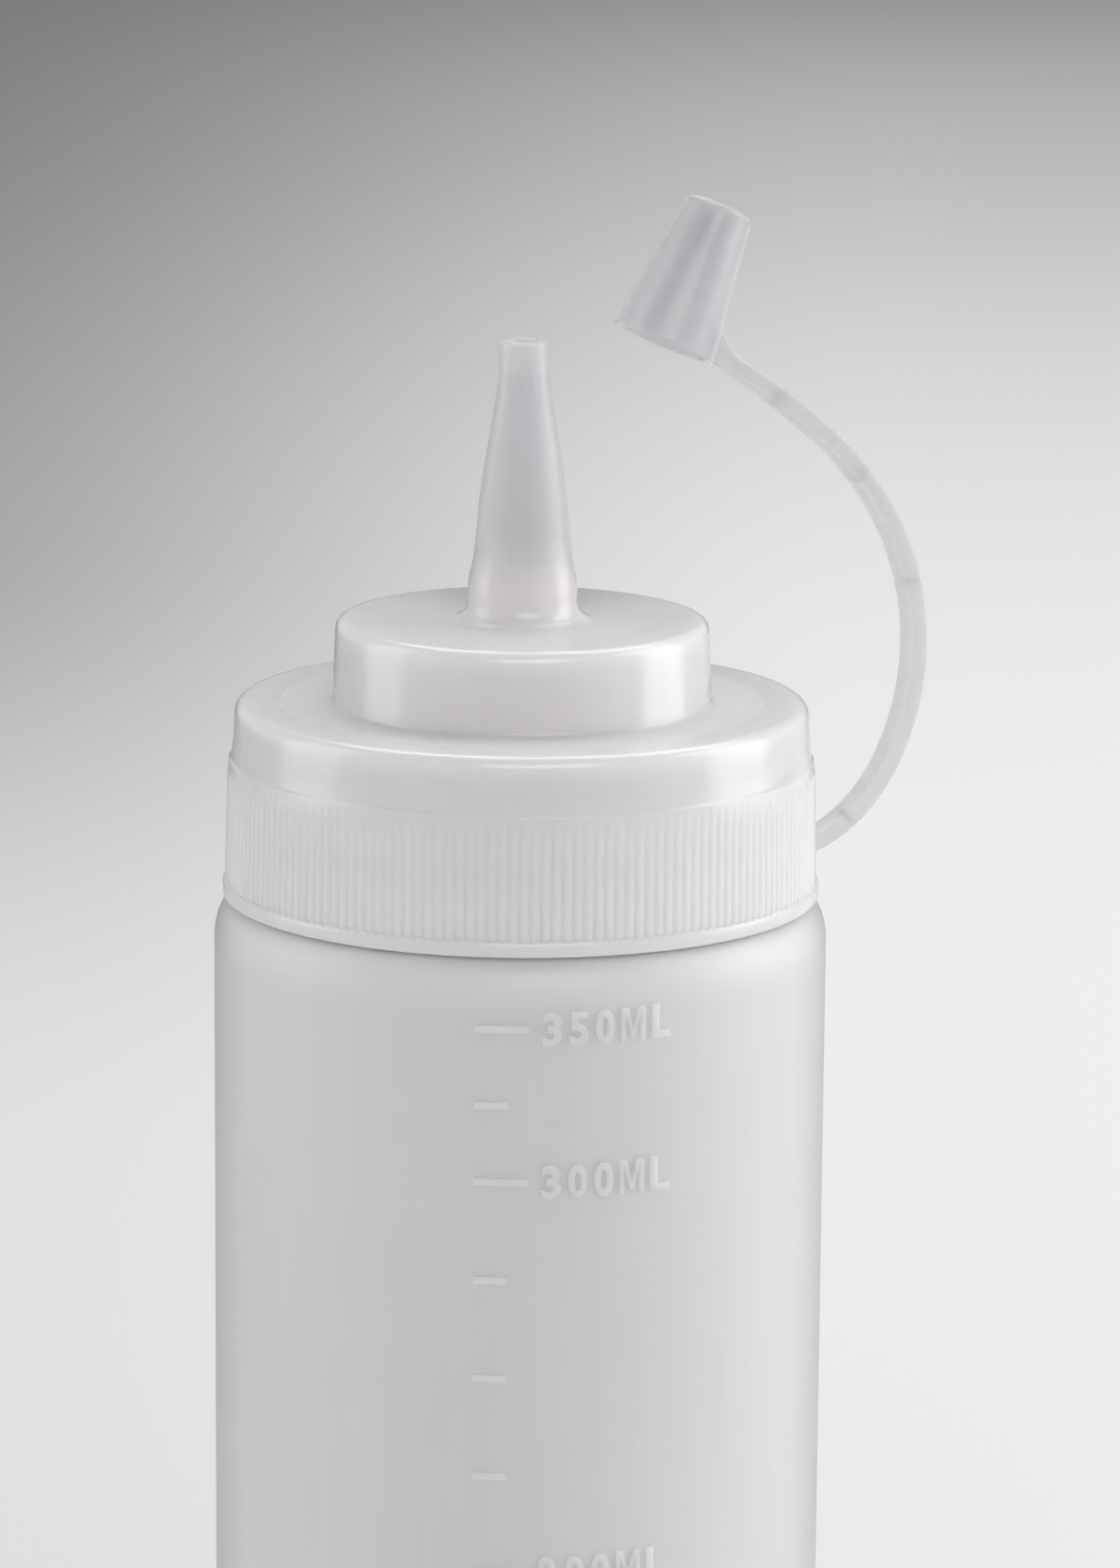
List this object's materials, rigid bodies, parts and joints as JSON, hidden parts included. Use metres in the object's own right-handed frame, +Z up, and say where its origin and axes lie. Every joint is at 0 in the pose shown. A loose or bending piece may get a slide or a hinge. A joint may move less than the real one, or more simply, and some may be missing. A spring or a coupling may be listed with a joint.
{
  "type": "condiment squeeze bottle",
  "caption": "Translucent soft plastic squeeze bottle for sauces, with a ribbed screw lid, a tapered nozzle and a tethered tip cap.",
  "frame": {"origin": "middle of the bottle's foot, on the plane it stands on", "axes": "+Z up along the bottle's axis, -Y towards the measuring marks, and the tether 30 degrees from +X towards +Y"},
  "size_m": [0.0702, 0.06, 0.2065],
  "materials": {
    "frosted_body": "frosted translucent polyethylene, fine blow-moulded satin",
    "milky_lid": "milky translucent polyethylene, satin gloss",
    "soft_seal": "soft foamed polyethylene"
  },
  "bodies": {
    "bottle": {"bottle": "frosted_body"},
    "seal": {"sealing_ring": "soft_seal"},
    "lid": {"lid": "milky_lid"},
    "tether_1": {"tether_link_1": "milky_lid"},
    "tether_2": {"tether_link_2": "milky_lid"},
    "tether_3": {"tether_link_3": "milky_lid"},
    "tether_4": {"tether_link_4": "milky_lid"},
    "tether_5": {"tether_link_5": "milky_lid"},
    "cap": {"tip_cap": "milky_lid"}
  },
  "joints": [
    {"name": "lid_rise", "type": "slide", "parent": "bottle", "child": "seal", "axis": [0, 0, 1], "range_m": [0, 0.0064]},
    {"name": "lid_turn", "type": "hinge", "parent": "seal", "child": "lid", "pos_m": [0, 0, 0.13965], "axis": [0, 0, 1], "range_deg": [0, 540]},
    {"name": "cap_swing", "type": "hinge", "parent": "lid", "child": "tether_1", "pos_m": [0.02726, 0.01574, 0.14086], "axis": [0.5, -0.866, 0], "range_deg": [-12, 31.75], "stiffness_Nm_per_rad": 0.01},
    {"name": "tether_bend_2", "type": "hinge", "parent": "tether_1", "child": "tether_2", "pos_m": [0.03586, 0.0207, 0.14813], "axis": [0.5, -0.866, 0], "range_deg": [-8.7, 0.1], "stiffness_Nm_per_rad": 0.01},
    {"name": "tether_bend_3", "type": "hinge", "parent": "tether_2", "child": "tether_3", "pos_m": [0.03877, 0.02238, 0.16016], "axis": [0.5, -0.866, 0], "range_deg": [-27.6, 10.5], "stiffness_Nm_per_rad": 0.01},
    {"name": "cap_press", "type": "hinge", "parent": "tether_3", "child": "tether_4", "pos_m": [0.03609, 0.02084, 0.17228], "axis": [0.5, -0.866, 0], "range_deg": [0, 28.62], "stiffness_Nm_per_rad": 0.01},
    {"name": "tether_bend_5", "type": "hinge", "parent": "tether_4", "child": "tether_5", "pos_m": [0.02918, 0.01685, 0.18199], "axis": [0.5, -0.866, 0], "range_deg": [-0.1, 16.3], "stiffness_Nm_per_rad": 0.01},
    {"name": "tether_bend_6", "type": "hinge", "parent": "tether_5", "child": "cap", "pos_m": [0.02033, 0.01174, 0.18942], "axis": [0.5, -0.866, 0], "range_deg": [-14.8, 0.1], "stiffness_Nm_per_rad": 0.01}
  ],
  "couplings": [
    {"joint": "lid_rise", "follows": "lid_turn", "m_per_rad": 0.00066845},
    {"joint": "tether_bend_3", "follows": "cap_swing", "ratio": -0.86543},
    {"joint": "tether_bend_6", "follows": "cap_press", "ratio": -0.51104},
    {"joint": "tether_bend_2", "follows": "cap_press", "ratio": -0.30011},
    {"joint": "tether_bend_5", "follows": "cap_press", "ratio": 0.56374}
  ]
}
